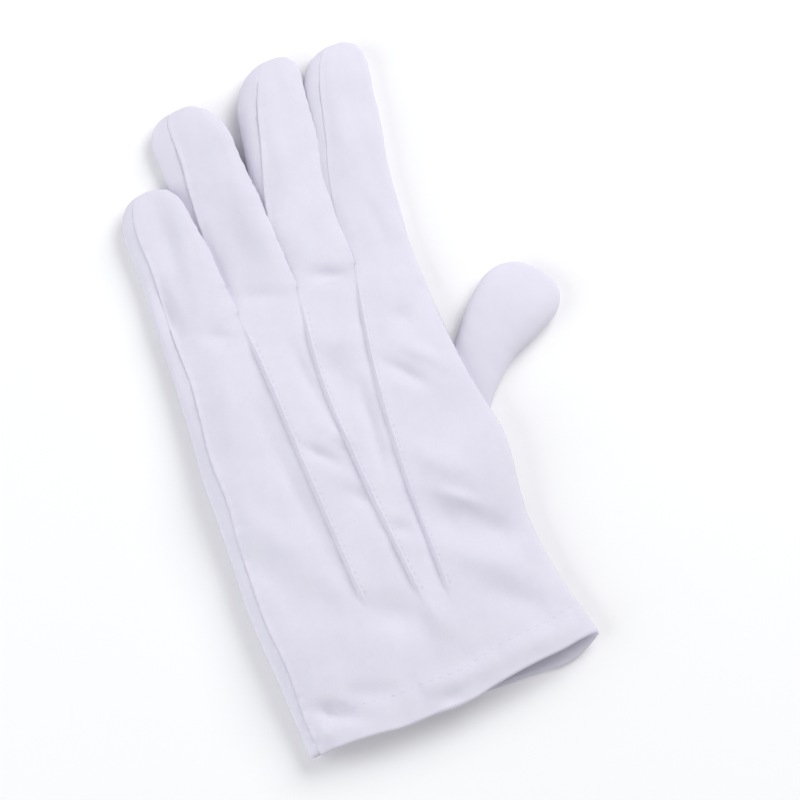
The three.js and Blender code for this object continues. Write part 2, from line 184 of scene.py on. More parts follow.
def stripEdges(index, y):
    # left and right edge of one finger's strip, all the way from the cuff: the tucks' lines or the outline
    # on the hand, then a tapering finger, middle = root + length * (lean * t + bow * 4t(1 - t))
    finger = fingerRows[index]
    crotch = glove["handLength"]
    left, right = handEdges(y)
    if index > 0:
        left = tuckX(index - 1, y)
    if index < 3:
        right = tuckX(index, y)
    t = np.clip((y - crotch) / finger["length"], 0, 1)
    sideways = finger["length"] * (finger["lean"] * t + finger["bow"] * 4 * t * (1 - t))
    half = clothWidth * (finger["root"] * (1 - t) + finger["tip"] * t) / 2
    middle = (finger["left"] + finger["right"]) / 2 + sideways
    on = smooth(crotch - 3, crotch + 5, y)
    beside = smooth(crotch - 4, crotch + 0.5, y)
    fingerLeft = middle - half - (fingerForm["under"] * beside if index > 0 else 0)
    fingerRight = middle + half + (fingerForm["over"] * beside if index < 3 else 0)
    fingerRight = fingerRight + finger["shoulder"] * np.exp(-(((t - 0.72) / 0.2) ** 2))
    fingerLeft = fingerLeft - finger["cheek"] * smooth(0, 0.25, t) * (1 - smooth(0.45, 0.9, t))
    return left + (fingerLeft - left) * on, right + (fingerRight - right) * on


def archHand(x, y, under):
    # level of the hand's upper or lower cloth over a place of the plan, with arch = (1 - |u|^n)^(1/n):
    # edge + (top - edge) * arch above, and edge * (1 - softCap(flat * arch)) below
    at = np.clip(y / glove["handLength"], 0, 1)
    left, right = handEdges(y)
    u = np.clip((x - (left + right) / 2) / ((right - left) / 2), -1, 1)
    n = glove["roundness"]
    if not under:
        n = n + (glove["outerPower"] - n) * smooth(0.3, 0.9, -u)
    arch = (1 - np.abs(u) ** n) ** (1 / n)
    edge = curveThrough(handTable["at"], handTable["edgeLeft"], at)
    edgeRight = curveThrough(handTable["at"], handTable["edgeRight"], at)
    edge = edge + (edgeRight - edge) * smooth(-0.2, 0.95, u)
    if under:
        return edge * (1 - softCap(glove["underFlat"] * arch))
    return edge + (curveThrough(handTable["at"], handTable["top"], at) - edge) * arch


def stripPoint(index, y, shrink, theta, under):
    # section of a strip at an angle theta, with s = crosswise(theta): x = middle + half * s. On a finger,
    # z = edge + (top - edge + tilt * s) * (1 - |s|^n)^(1/n) above, and edge * (1 - softCap(flat * up))
    # below. Near the cuff z is the hand's arch, and the two are mixed around the crotch
    finger = fingerRows[index]
    crotch = glove["handLength"]
    left, right = stripEdges(index, y)
    across = crosswise(theta)
    wobble = fingerForm["wobble"] * waves(0 * y, y, 26, 50 + index) * smooth(crotch + 4, crotch + 20, y)
    x = (left + right) / 2 + wobble + (right - left) / 2 * across * shrink
    upper = np.sin(theta) > (1e-9 if under else -1e-9)      # an edge's own line counts to its sheet's side
    levelLeft, levelRight = finger["levels"]
    edge = (levelLeft + levelRight) / 2 + (levelRight - levelLeft) / 2 * across * shrink
    leftPower = fingerForm["leftPower"] if index > 0 else glove["outerPower"]
    rightPower = fingerForm["rightPower"] if index < 3 else glove["roundness"]
    n = leftPower + (rightPower - leftPower) * smooth(-0.4, 0.4, across)
    dome = (1 - np.abs(across) ** n) ** (1 / n)
    t = np.clip((y - crotch) / finger["length"], 0, 1)
    top = finger["top"] * (1.05 - 0.12 * t)                 # a little lower towards the tip
    top = top + fingerForm["crestWave"] * waves(0 * x, y, 30, 60 + index)
    top = top - fingerForm["crestDip"] * (1 - across**2)
    fingerUpper = edge + (top - edge + finger["tilt"] * across) * dome * shrink
    fingerUnder = edge - edge * softCap(fingerForm["underFlat"] * rounded(np.sin(theta))) * shrink
    handUpper = archHand(x, y, False)
    handUnder = archHand(x, y, True)
    z = np.where(upper, handUpper + (fingerUpper - handUpper) * smooth(crotch - 8, crotch + 22, y),
                 handUnder + (fingerUnder - handUnder) * smooth(crotch - 8, crotch + 12, y))
    return np.stack([x, np.broadcast_to(y, x.shape), z], axis=-1)


def seamAngle(index, y, inside):        # angle at which the section lies this far inside its left edge
    left, right = stripEdges(index, y)
    share = np.clip(1 - inside / ((right - left) / 2), 0, 1)
    return np.pi - np.arccos(share ** (glove["roundness"] / 2))


def roundTip(start, length, count):     # distances along a round tip, and what its section shrinks to
    phi = np.linspace(0, np.pi / 2, count + 1)[1:]
    shrink = rounded(np.cos(phi))
    shrink[-1] = 0
    return start + length * rounded(np.sin(phi)), shrink


def stripRows(index, handCount, fingerCount, tipCount):     # distances from the cuff, and the tip's shrink
    finger = fingerRows[index]
    crotch = glove["handLength"]
    tip = clothWidth * finger["tip"] * fingerForm["tipLength"]
    tipStart = crotch + finger["length"] - tip
    tipY, tipShrink = roundTip(tipStart, tip, tipCount)
    y = np.concatenate([np.linspace(0, crotch, handCount),
                        np.linspace(crotch, tipStart, fingerCount)[1:], tipY])
    return y, np.concatenate([np.ones(handCount + fingerCount - 1), tipShrink])


seamPlan = {                 # angles round a strip's section, in radians
    "web": 0.16,             # a gusset starts with this much of the section at the crotch
    "upper": 0.20,           # its upper seam, on the side towards the little finger
    "lower": 0.62,           # its lower seams
    "lap": 0.035,            # the back's edge reaches this much further round, over its neighbours' edges
    "outer": 5.3,            # the little finger's side seam, in millimetres inside the outline
}


def upperAngles(index, y):   # where the back panel ends on either side of a strip
    crotch = glove["handLength"]
    opened = smooth(crotch - 1.2, crotch, y)
    along = smooth(crotch, crotch + 10, y)
    web = seamPlan["web"]
    right = opened * web + (seamPlan["upper"] - web) * along if index < 3 else 0 * y
    if index == 0:           # this seam wanders a little, and nears the outline at the cuff
        inside = seamPlan["outer"] + 0.5 * waves(0 * y, y, 34, 41) - 0.9 * (1 - smooth(10, 90, y))
        return right, seamAngle(0, y, inside)
    t = np.clip((y - crotch) / fingerRows[index]["length"], 0, 1)
    strip = fingerRows[index]["strip"] * smooth(-0.15, 1.0, t) * along
    return right, np.minimum(seamAngle(index, y, strip), np.pi - opened * web)


def lowerAngles(index, y):   # where the palm panel starts and ends, going round the underside
    crotch = glove["handLength"]
    opened = smooth(crotch - 1.2, crotch, y)
    along = smooth(crotch, crotch + 12, y)
    turn = opened * seamPlan["web"] + (seamPlan["lower"] - seamPlan["web"]) * along
    start = np.pi + turn if index > 0 else upperAngles(0, y)[1]
    end = 2 * np.pi - turn if index < 3 else 2 * np.pi + 0 * y
    return start, end


folds = [
    # x, y, half length, half width, turn from +Y to +X, and height, which is below zero for a dent
    # little finger and its root
    (-29.8, 194.1, 16, 4, 4, -0.8), (-39.7, 172.0, 8, 3, -3, -1.5), (-40.5, 163.8, 8, 4, 7, -0.8),
    (-25.9, 151.7, 6, 3, -61, -0.8),
    # ring and middle finger
    (-8.8, 188, 22, 7, -7, -0.8), (-7.1, 160.7, 10, 3, -66, -0.6), (20.5, 200.2, 12, 4, 7, 0.5),
    (19.8, 157.3, 7, 3, -66, -1.5), (12.9, 133.3, 8, 6, -66, 0.6), (6.7, 121.8, 9, 6, -3, -1.2),
    # index finger
    (42.9, 170.1, 8, 3, 4, -0.6), (37.5, 132.8, 4, 4, -66, -0.8), (51.8, 140.1, 4, 4, -66, -0.8),
    (47.4, 209.5, 14, 4, 12, 0.5), (50.4, 192.1, 10, 3.4, 7, -0.4),
    # between the third tuck and the thumb
    (29.7, 113.2, 9, 2.6, -38, -1.1), (38.5, 117.0, 9, 3, -42, 0.8), (38.3, 92.4, 10, 8, 7, -0.9),
    (26.7, 80.0, 14, 5, -42, 1.1), (27.0, 54.0, 17, 8, -40, -1.7), (38.5, 47.5, 8, 5, -45, -1.0),
    (30.0, 63.0, 7, 2.4, -47, 1.0), (28.0, 41.0, 16, 5, -50, 0.9), (33.5, 22.7, 14, 5, -47, -0.9),
    # between the tucks and the cuff
    (-9.2, 34.3, 9, 6, -47, -1.2), (5.4, 27.7, 8, 4, -7, 0.9), (-36.8, 76.5, 18, 5, -26, 0.6),
    (-39.9, 59.1, 20, 6, -35, -0.8), (-46.3, 33.7, 14, 10, 24, 0.8), (-41.5, 11.4, 7, 3.0, -61, -1.5),
    (-47.5, 5.8, 4, 3, 7, 1.0), (7.8, 7.5, 14, 3, -86, 0.5), (-2.2, 2.8, 5, 3.5, -83, -0.8),
    (-27.9, 13.9, 8, 3, -72, -0.5), (36.1, 6.2, 12, 3.5, -88, 0.5),
    # beside and between the tucks
    (-23.5, 93.4, 24, 3.6, -3, -0.9), (-35.2, 118.2, 26, 8, 12, 1.0), (-40.8, 143.1, 22, 7, 7, -0.9),
    (-10.2, 97.5, 8, 2.5, -40, -1.0), (-1.3, 101.7, 8, 3, -40, 0.5), (-2.8, 78.3, 6, 3, -50, -0.6),
    (5.8, 61.1, 5, 3, -55, -0.8), (10.9, 101.2, 16, 3, 8, -1.2), (-3.7, 125.9, 14, 3, -3, -0.9),
    (-13.9, 126.1, 14, 4, 2, 0.6),
]
foldDepth = 2.0              # deepens all of them together
looseFolds = [(0.3, 0.8, 22, 3), (0.13, 0.7, 9, 4), (0.025, 0.8, 4.2, 5)]   # height, stretch, size, seed


def foldLift(x, y):          # sum of long bell-shaped ridges and dents, with some loose waviness
    lift = np.zeros(np.broadcast(x, y).shape)
    for foldX, foldY, length, width, turn, depth in folds:
        angle = math.radians(turn)
        east, north = x - foldX, y - foldY
        down = (east * math.sin(angle) + north * math.cos(angle)) / length
        over = (east * math.cos(angle) - north * math.sin(angle)) / width
        lift += foldDepth * depth * np.exp(-down**2 - over**2)
    return lift + sum(height * waves(x, y * stretch, size, seed)
                      for height, stretch, size, seed in looseFolds)


def tuckLift(x, y):
    # a welt that rises steeply at each line and runs out slowly to its right, rise * s(d) * e^-(d/runOut),
    # a groove at its foot on the left, groove * e^-(|d|/grooveWidth), deeper and shallower from stitch to
    # stitch, and a shallow channel under the stitches
    lift = np.zeros(x.shape)
    for index, line in enumerate(tuck["lines"]):
        d = x - tuckX(index, y)
        start, end = line["start"], line["end"]
        fade = smooth(start - 3, start + 9, y) * (1 - smooth(end - 16, end + 8, y))
        pull = 1 + 0.22 * waves(0 * x, y, 9, 31 + index) + 0.1 * np.sin(2 * np.pi * y / 2.8 + index)
        side = smooth(-0.7, 0.85, d)
        welt = tuck["rise"] * side * np.exp(-np.clip(d - 0.7, 0, None) / tuck["runOut"])
        foot = -tuck["groove"] * pull * np.exp(-np.clip(-d, 0, None) / tuck["grooveWidth"]) * (1 - side)
        channel = -tuck["channel"] * np.exp(-(((d - tuck["stitch"]) / 0.5) ** 2))
        lift += fade * (welt + foot + channel)
    return lift


def gridNormals(p):          # unit normals of a grid from its neighbours' differences
    along = np.gradient(p, axis=0)
    across = np.gradient(p, axis=1)
    n = np.cross(across, along)
    length = np.linalg.norm(n, axis=-1, keepdims=True)
    return n / np.maximum(length, 1e-9)


def arcLengths(p):           # distances along each row of a grid, from its first and its last column
    step = np.linalg.norm(np.diff(p, axis=1), axis=-1)
    run = np.concatenate([np.zeros((len(p), 1)), np.cumsum(step, axis=1)], axis=1)
    return run, run[:, -1:] - run


seamForm = {
    "ridge":  {"hand": 0.52, "finger": 0.6, "tip": 0.3},     # how far the cloth rises to a seam
    "groove": {"hand": 0.03, "finger": 0.0, "tip": 0.15},    # the fine groove in the middle of it
    "ridgeWidth": 1.15, "grooveWidth": 0.5,
    "pucker": 0.13, "cuffPucker": 0.18, "puckerWidth": 3.0,  # fine puckers, deeper at the cuff
    "drag": 0.22, "dragWidth": 6.0,      # longer ones, where the cloth doesn't lie on the surface
    "neighbour": 0.6,                    # share of all this on the palm's and the gussets' edges
    "dustAndShadeWidth": 1.1,                    # of the mask that greys the seams, with dust and painted shade
}
hem = {                      # the cuff is turned in, so its wall is nearly doubled
    "width": 12.2, "layers": 1.9,
    "rise": 0.05, "dent": 0.04,          # it stands out a little, up to a fine line at its stitches
    "ripple": 0.17,
}
cuffEdge = {                 # how far the cuff's edge stands out past its corners, at places across
    "at":    [-57, -50, -42, -31, -22, -12, -4, 5, 13, 22, 32, 42, 53, 57],
    "upper": [0.3, 0.6, 0.9, 2.0, 3.5, 3.8, 3.9, 4.3, 3.1, 2.0, 1.2, 0.8, -0.4, -0.3],
    "under": [0.3, -0.4, -0.6, -0.2, 0.4, 1.0, 1.4, 1.9, 2.9, 3.6, 4.3, 5.3, 2.0, -0.1],
}


def bell(distance, width):   # e^-(distance / width)^2
    return np.exp(-((distance / width) ** 2))


def finishShape(p, seamDistance, tipY, strength, under):
    # folds and tucks lift the upper cloth, then seams and hem move it along its own normal by bells around
    # their lines, and the cuff's edge is drawn out to its waved line
    x, y, z = p[..., 0].copy(), p[..., 1].copy(), p[..., 2]
    held = smooth(5.5, 10.5, z)          # 0 where the cloth lies on the surface, 1 on top
    p[..., 2] += (foldLift(x, y) + tuckLift(x, y)) * held
    normal = gridNormals(p)
    normal[-1] = (0, 1, 0)   # the tip
    onFinger = smooth(glove["handLength"] - 4, glove["handLength"] + 10, y)
    atTip = smooth(tipY - 22, tipY - 6, y)

    def along(row):          # the hand's value, then the finger's, then the tip's
        return row["hand"] + (row["finger"] - row["hand"]) * onFinger + (row["tip"] - row["finger"]) * atTip

    roll = (along(seamForm["ridge"]) * bell(seamDistance, seamForm["ridgeWidth"])
            - along(seamForm["groove"]) * bell(seamDistance, seamForm["grooveWidth"])) * strength
    depth = seamForm["pucker"] + seamForm["cuffPucker"] * (1 - smooth(6, 26, y))
    pucker = depth * bell(seamDistance, seamForm["puckerWidth"]) * waves(x * 0.3, y, 3.4, 11)
    drag = seamForm["drag"] * bell(seamDistance, seamForm["dragWidth"])
    pucker += drag * waves(x * 0.3, y, 17, 13) * held
    turnIn = hem["rise"] * (1 - smooth(9.5, 13.5, y)) - hem["dent"] * bell(y - 12.4, 1.1)
    turnIn = turnIn + hem["ripple"] * bell(y - 11, 4.0) * waves(x, y * 0.3, 6.4, 12)
    p += normal * (roll + pucker * strength + turnIn)[..., None]
    shape = cuffEdge["under"] if under else cuffEdge["upper"]
    p[..., 1] -= curveThrough(cuffEdge["at"], shape, x) * (1 - smooth(0, 30, y))
    p[..., 2] = np.maximum(p[..., 2], glove["lowest"])
    return p


def spread(leftAngle, rightAngle, columns, y, turned=None):
    # the columns' angles: spaced evenly in x on the hand, a little closer at the edges, and evenly round a
    # finger. A sheet of the underside names which of its sides turns up round the outline, where the
    # columns are spaced evenly round that edge too
    u = np.linspace(0, 1, columns)[None, :]
    t = 2 * u - 1
    t = 0.62 * t + 0.38 * np.sin(np.pi * t / 2)
    a = crosswise(leftAngle)[:, None]
    b = crosswise(rightAngle)[:, None]
    place = np.clip(a + (b - a) * (t + 1) / 2, -1, 1)
    onHand = np.arccos(np.clip(np.sign(place) * np.abs(place) ** (glove["roundness"] / 2), -1, 1))
    onFinger = leftAngle[:, None] + (rightAngle - leftAngle)[:, None] * u
    if turned is not None:
        share = {"first": 1 - smooth(0.2, 0.75, u), "last": smooth(0.25, 0.8, u), "none": 0 * u}[turned]
        onHand = 2 * np.pi - onHand
        onHand = onHand + (onFinger - onHand) * share
    crotch = glove["handLength"]
    return onHand + (onFinger - onHand) * smooth(crotch - 32, crotch - 4, y)[:, None]


def layOut(index, y, shrink, theta, seams, strength, under=False):
    # one sheet of cloth over a strip, its own cloth coordinates, and a mask of how near each point is to a
    # seam. A side's seam is whole, or only on the finger, and strength is the share of its full height
    rows = y[:, None]
    p = stripPoint(index, rows, shrink[:, None], theta, under)
    fromFirst, fromLast = arcLengths(p)
    noSeam = 40 * (1 - smooth(glove["handLength"] - 6, glove["handLength"], rows))    # as if far off
    apart = np.minimum(*[run + (noSeam if side == "finger" else 0)
                         for side, run in zip(seams, (fromFirst, fromLast))])
    uv = np.stack([fromFirst - fromFirst[:, -1:] / 2, np.broadcast_to(rows, fromFirst.shape)], axis=-1)
    tipY = glove["handLength"] + fingerRows[index]["length"]
    strength = strength * smooth(0.05, 0.6, shrink[:, None])
    if index == 3:           # the index finger's seams are pressed flat, but for its tip
        strength = strength * (0.3 + 0.7 * smooth(tipY - 22, tipY - 8, rows))
    return finishShape(p, apart, tipY, strength, under), uv, bell(apart, seamForm["dustAndShadeWidth"]) * strength


def joinStrips(sheets, count, back):     # neighbouring sheets share one line up to the crotch
    for a, b in zip(sheets, sheets[1:]):
        last, first = (-1, 0) if back else (0, -1)
        shared = (a[0][:count, last] + b[0][:count, first]) / 2
        a[0][:count, last] = shared
        b[0][:count, first] = shared
    return sheets


def backSheets():            # the back's four strips, each from its left to its right
    sheets = []
    rows = sheetGrid["back"]["rows"]
    for index, columns in enumerate(sheetGrid["back"]["columns"]):
        y, shrink = stripRows(index, *rows)
        right, left = upperAngles(index, y)
        further = seamPlan["lap"] * smooth(glove["handLength"] - 1, glove["handLength"] + 6, y)
        further = further * smooth(0, 0.8, shrink)
        right = right - (further if index < 3 else 0)
        left = left + (further if index > 0 else seamPlan["lap"])
        theta = spread(left, right, columns, y)
        seams = ("whole" if index == 0 else "finger", "whole" if index == 3 else "finger")
        sheets.append(layOut(index, y, shrink, theta, seams, 1))
    return joinStrips(sheets, rows[0] - 1, True)


def palmSheets():            # the palm's four strips, each from its right to its left
    sheets = []
    rows = sheetGrid["palm"]["rows"]
    for index, columns in enumerate(sheetGrid["palm"]["columns"]):
        y, shrink = stripRows(index, *rows)
        left, right = lowerAngles(index, y)
        theta = spread(right, left, columns, y, ("last", "none", "none", "first")[index])
        seams = ("whole" if index == 3 else "finger", "whole" if index == 0 else "finger")
        sheets.append(layOut(index, y, shrink, theta, seams, seamForm["neighbour"], under=True))
    return joinStrips(sheets, rows[0] - 1, False)


def gussetSheet(index):      # the sides of two neighbouring fingers, joined at their crotch
    u = np.linspace(0, 1, sheetGrid["gusset"]["columns"])[None, :]
    legs = []
    for finger in (index, index + 1):
        y, shrink = [part[1:] for part in stripRows(finger, *sheetGrid["gusset"]["rows"])]
        upperRight, upperLeft = upperAngles(finger, y)
        lowerLeft, lowerRight = lowerAngles(finger, y)
        first, last = lowerLeft, upperLeft
        if finger == index:
            first, last = lowerRight - 2 * np.pi, upperRight
        theta = first[:, None] + (last - first)[:, None] * u
        turned = finger == index         # laid the other way round, so that its outside stays outside
        leg = layOut(finger, y, shrink, theta[:, ::-1] if turned else theta, ("whole", "whole"),
                     seamForm["neighbour"])
        legs.append([part[::-1, ::-1] for part in leg] if turned else leg)
    return [[np.concatenate(parts) for parts in zip(*legs)]]


thumbForm = {
    "root": (36.2, 85.3), "turn": 50.0, "length": 71.0, "width": 31.0, "tip": 15.5,
    "at":   [0.0, 0.14, 0.28, 0.40, 0.53, 0.65, 0.80, 1.0],
    "low":  [-0.30, -0.30, -0.22, -0.20, -0.22, -0.32, -0.42, -0.48],   # edges, in shares of the width
    "high": [0.34, 0.39, 0.43, 0.46, 0.50, 0.54, 0.54, 0.50],
    "top":  [7.2, 7.3, 7.6, 8.2, 9.2, 9.9, 9.9, 9.2],
    "edge": 4.1, "underFlat": 1.45,
    "loose": [(0.3, 22, 21), (0.07, 9, 22)],      # soft waves: height, size and seed
    "cutEdge": 2.5, "cutTop": 0.8,       # the palm is cut out this far inside the thumb's tube
}


def thumbProfile(at):        # its two edges and its height, at a share of its length
    low = thumbForm["width"] * curveThrough(thumbForm["at"], thumbForm["low"], at)
    high = thumbForm["width"] * curveThrough(thumbForm["at"], thumbForm["high"], at)
    return low, high, curveThrough(thumbForm["at"], thumbForm["top"], at)


def thumbSheet():            # a tube of rounded sections along a slanted line, closed by a round tip
    form = thumbForm
    count, tipCount = sheetGrid["thumb"]["rows"]
    straight = form["length"] - form["tip"]
    tipAlong, tipShrink = roundTip(straight, form["tip"], tipCount)
    along = np.concatenate([np.linspace(0, straight, count), tipAlong])[:, None]
    shrink = np.concatenate([np.ones(count), tipShrink])[:, None]
    low, high, top = thumbProfile(along / form["length"])
    theta = np.pi - np.linspace(0, 2 * np.pi, sheetGrid["thumb"]["columns"])[None, :]
    across = -(low + high) / 2 + (high - low) / 2 * crosswise(theta) * shrink
    up = rounded(np.sin(theta))
    z = np.where(np.sin(theta) >= 0, form["edge"] + (top - form["edge"]) * up * shrink,
                 form["edge"] - form["edge"] * softCap(form["underFlat"] * up) * shrink)
    angle = math.radians(form["turn"])
    x = form["root"][0] + across * math.cos(angle) + along * math.sin(angle)
    y = form["root"][1] - across * math.sin(angle) + along * math.cos(angle)
    loose = sum(height * waves(x, y, size, seed) for height, size, seed in form["loose"])
    z = z + smooth(3.5, 7.5, z) * loose
    p = np.stack([x, y, np.maximum(z, glove["lowest"])], axis=-1)
    uv = np.stack([across + 0 * x, along + 0 * x], axis=-1)
    return [(p, uv, np.zeros(p.shape[:2]))]


def insideThumb(points):     # which of the palm's points lie well inside the thumb's tube
    form = thumbForm
    angle = math.radians(form["turn"])
    x, y = points[:, 0] - form["root"][0], points[:, 1] - form["root"][1]
    along = x * math.sin(angle) + y * math.cos(angle)
    across = -x * math.cos(angle) + y * math.sin(angle)
    low, high, top = thumbProfile(np.clip(along / form["length"], 0, 1))
    cut = form["cutEdge"]
    beside = (along > cut) & (across > low + cut) & (across < high - cut)
    return beside & (points[:, 2] < top - form["cutTop"])


def quadsOf(k):              # corners of the quads between neighbouring rows and columns of point numbers
    corners = [k[..., :-1, :-1], k[..., :-1, 1:], k[..., 1:, 1:], k[..., 1:, :-1]]
    return np.stack(corners, axis=-1).reshape(-1, 4)


def quadMesh(name, points, faces, uvName, uv):    # points in millimetres, and a UV place for each of them
    mesh = bpy.data.meshes.new(name)
    mesh.vertices.add(len(points))
    mesh.vertices.foreach_set("co", toFrame(points).ravel())
    mesh.loops.add(faces.size)
    mesh.loops.foreach_set("vertex_index", faces.ravel())
    mesh.polygons.add(len(faces))
    mesh.polygons.foreach_set("loop_start", np.arange(0, faces.size, 4))
    mesh.update(calc_edges=True)
    mesh.uv_layers.new(name=uvName).data.foreach_set("uv", uv[faces.ravel()].ravel())
    return mesh


def addObject(name, data):   # at the origin, and part of the scene
    made = bpy.data.objects.new(name, data)
    bpy.context.scene.collection.objects.link(made)
    return made


def addPiece(name, mesh, mergeDistance):          # an object whose doubled points will be merged
    piece = addObject(name, mesh)
    weld = piece.modifiers.new("weld", "WELD")
    weld.merge_threshold = mergeDistance
    return piece


def finishPiece(piece, material):                 # applies its modifiers, smooths it and dresses it
    bpy.context.view_layer.objects.active = piece
    piece.select_set(True)
    for modifier in [m.name for m in piece.modifiers]:
        bpy.ops.object.modifier_apply(modifier=modifier)
    piece.select_set(False)
    piece.data.shade_smooth()
    piece.data.materials.append(material)


def clothObject(name, sheets, material, nodes, drop=None, hemmed=False):
    # joins grids of points into one mesh, merges what they share and gives the cloth its thickness
    points, uvs, seams, faces, start = [], [], [], [], 0
    for p, uv, seam in sheets:
        faces.append(quadsOf(start + np.arange(seam.size).reshape(seam.shape)))
        points.append(p.reshape(-1, 3))
        uvs.append(uv.reshape(-1, 2) * mm)
        seams.append(seam.ravel())
        start += seam.size
    points, uvs, faces = np.concatenate(points), np.concatenate(uvs), np.concatenate(faces)
    if drop is not None:
        faces = faces[~drop(points)[faces].all(axis=1)]
    mesh = quadMesh(name, points, faces, "cloth", uvs)
    mesh.attributes.new("seam", "FLOAT", "POINT").data.foreach_set("value", np.concatenate(seams))
    mesh.validate()
    piece = addPiece(name, mesh, 0.00002)
    wall = piece.modifiers.new("wall", "SOLIDIFY")
    wall.thickness = glove["cloth"] * mm
    wall.offset = -1
    if hemmed:
        inHem = points[:, 1] < hem["width"]
        group = piece.vertex_groups.new(name="hem")
        group.add(np.flatnonzero(inHem).tolist(), 1.0, "REPLACE")
        group.add(np.flatnonzero(~inHem).tolist(), 1 / hem["layers"], "REPLACE")
        wall.thickness = glove["cloth"] * hem["layers"] * mm
        wall.vertex_group = "hem"
    finishPiece(piece, material)
    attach(piece, "root")
    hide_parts(*nodes)
    print("made", name, len(piece.data.polygons), "faces")


stitching = {
    "pitch": 2.6, "length": 1.9, "radius": 0.12,  # on the tucks, in millimetres
    "hemAt": 12.0, "hemPitch": 3.6,
    "proud": 0.06, "sink": 0.16,                  # its middle stands up and its ends sink in
    "lowest": 0.01,
    "rings": 7, "sides": 8,
}


def lineInside(p, distance):            # a line on a grid, this far from its first column in every row
    run = arcLengths(p)[0]
    normal = gridNormals(p)
    rows = np.arange(len(p))
    k = np.clip((run < distance).sum(axis=1) - 1, 0, p.shape[1] - 2)
    t = ((distance - run[rows, k]) / np.maximum(run[rows, k + 1] - run[rows, k], 1e-6))[:, None]
    return p[rows, k] * (1 - t) + p[rows, k + 1] * t, normal[rows, k]


def stitchesAlong(points, normals, pitch):
    # every stitch is a spindle between two places of the line: radius r sqrt(1 - u^4) for u from -1 to 1,
    # its middle line at proud - sink * u^4 above the cloth
    run = np.concatenate([[0], np.cumsum(np.linalg.norm(np.diff(points, axis=0), axis=1))])
    middles = np.arange(pitch / 2, run[-1] - pitch / 2, pitch)
    u = np.linspace(-1, 1, stitching["rings"])
    at = middles[:, None] + u * stitching["length"] / 2
    centre = np.stack([np.interp(at, run, points[:, k]) for k in range(3)], axis=-1)
    up = np.stack([np.interp(at, run, normals[:, k]) for k in range(3)], axis=-1)
    up /= np.linalg.norm(up, axis=-1, keepdims=True)
    along = centre[:, -1:] - centre[:, :1]
    along = along / np.linalg.norm(along, axis=-1, keepdims=True)
    aside = np.cross(along, up)
    centre = centre + up * (stitching["proud"] - stitching["sink"] * u**4)[None, :, None]
    turn = np.linspace(0, 2 * np.pi, stitching["sides"])
    radius = (stitching["radius"] * np.sqrt(1 - u**4))[None, :, None, None]
    around = (np.cos(turn)[None, None, :, None] * aside[:, :, None]
              + np.sin(turn)[None, None, :, None] * up[:, :, None])
    spindle = centre[:, :, None] + radius * around
    spindle[..., 2] = np.maximum(spindle[..., 2], stitching["lowest"])
    uv = np.stack(np.broadcast_arrays((turn / (2 * np.pi))[None, None, :], at[:, :, None]), axis=-1)
    return spindle, uv * (1, mm)


def stitchObject(name, rows, material):           # all the spindles of some rows of stitches, as one piece
    spindles = np.concatenate([row[0] for row in rows])
    uvs = np.concatenate([row[1] for row in rows])
    count = spindles.shape[:3]
    faces = quadsOf(np.arange(math.prod(count)).reshape(count))
    mesh = quadMesh(name, spindles.reshape(-1, 3), faces, "thread", uvs.reshape(-1, 2))
    piece = addPiece(name, mesh, 0.000002)
    finishPiece(piece, material)
    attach(piece, "root")
    print("made", name, count[0], "stitches")


def tuckStitches(sheets):    # beside each tuck, on the strip that starts at it
    rows = []
    for line, sheet in zip(tuck["lines"], sheets[1:]):
        points, normals = lineInside(sheet[0], tuck["stitch"] + tuck["climb"])
        kept = (points[:, 1] > line["start"] + 2) & (points[:, 1] < line["end"] - 2)
        rows.append(stitchesAlong(points[kept], normals[kept], stitching["pitch"]))
    return rows


def hemStitches(sheets):     # a line of stitches across the sheets, from one to the next
    points, normals = [], []
    for sheet in sheets:
        line, normal = lineInside(sheet[0].transpose(1, 0, 2), stitching["hemAt"])
        points.append(line)
        normals.append(-normal)
    return [stitchesAlong(np.concatenate(points), np.concatenate(normals), stitching["hemPitch"])]


def plainMaterial(name, colour, roughness):       # the shader with its own colour and roughness alone
    material = bpy.data.materials.new(name)
    material.use_nodes = True
    shader = material.node_tree.nodes["Principled BSDF"]
    shader.inputs["Base Color"].default_value = (*colour, 1)
    shader.inputs["Roughness"].default_value = roughness
    return material


def patternedMaterial(name, pattern, look):
    # colour, roughness and height come from a pattern's group, filled in with this look's values
    material = plainMaterial(name, look["pattern"]["Colour"], look["roughness"])
    nodes, links = material.node_tree.nodes, material.node_tree.links
    shader = nodes["Principled BSDF"]
    group = nodes.new("ShaderNodeGroup")
    group.node_tree = pattern
    for key, value in look["pattern"].items():
        group.inputs[key].default_value = (*value, 1) if isinstance(value, tuple) else value
    bump = nodes.new("ShaderNodeBump")
    bump.inputs["Strength"].default_value = look["bumpStrength"]
    bump.inputs["Distance"].default_value = look["bumpDepth"]
    links.new(group.outputs["Height"], bump.inputs["Height"])
    links.new(group.outputs["Colour"], shader.inputs["Base Color"])
    links.new(group.outputs["Roughness"], shader.inputs["Roughness"])
    links.new(bump.outputs["Normal"], shader.inputs["Normal"])
    for key, value in look["finish"].items():
        shader.inputs[key].default_value = value
    return material


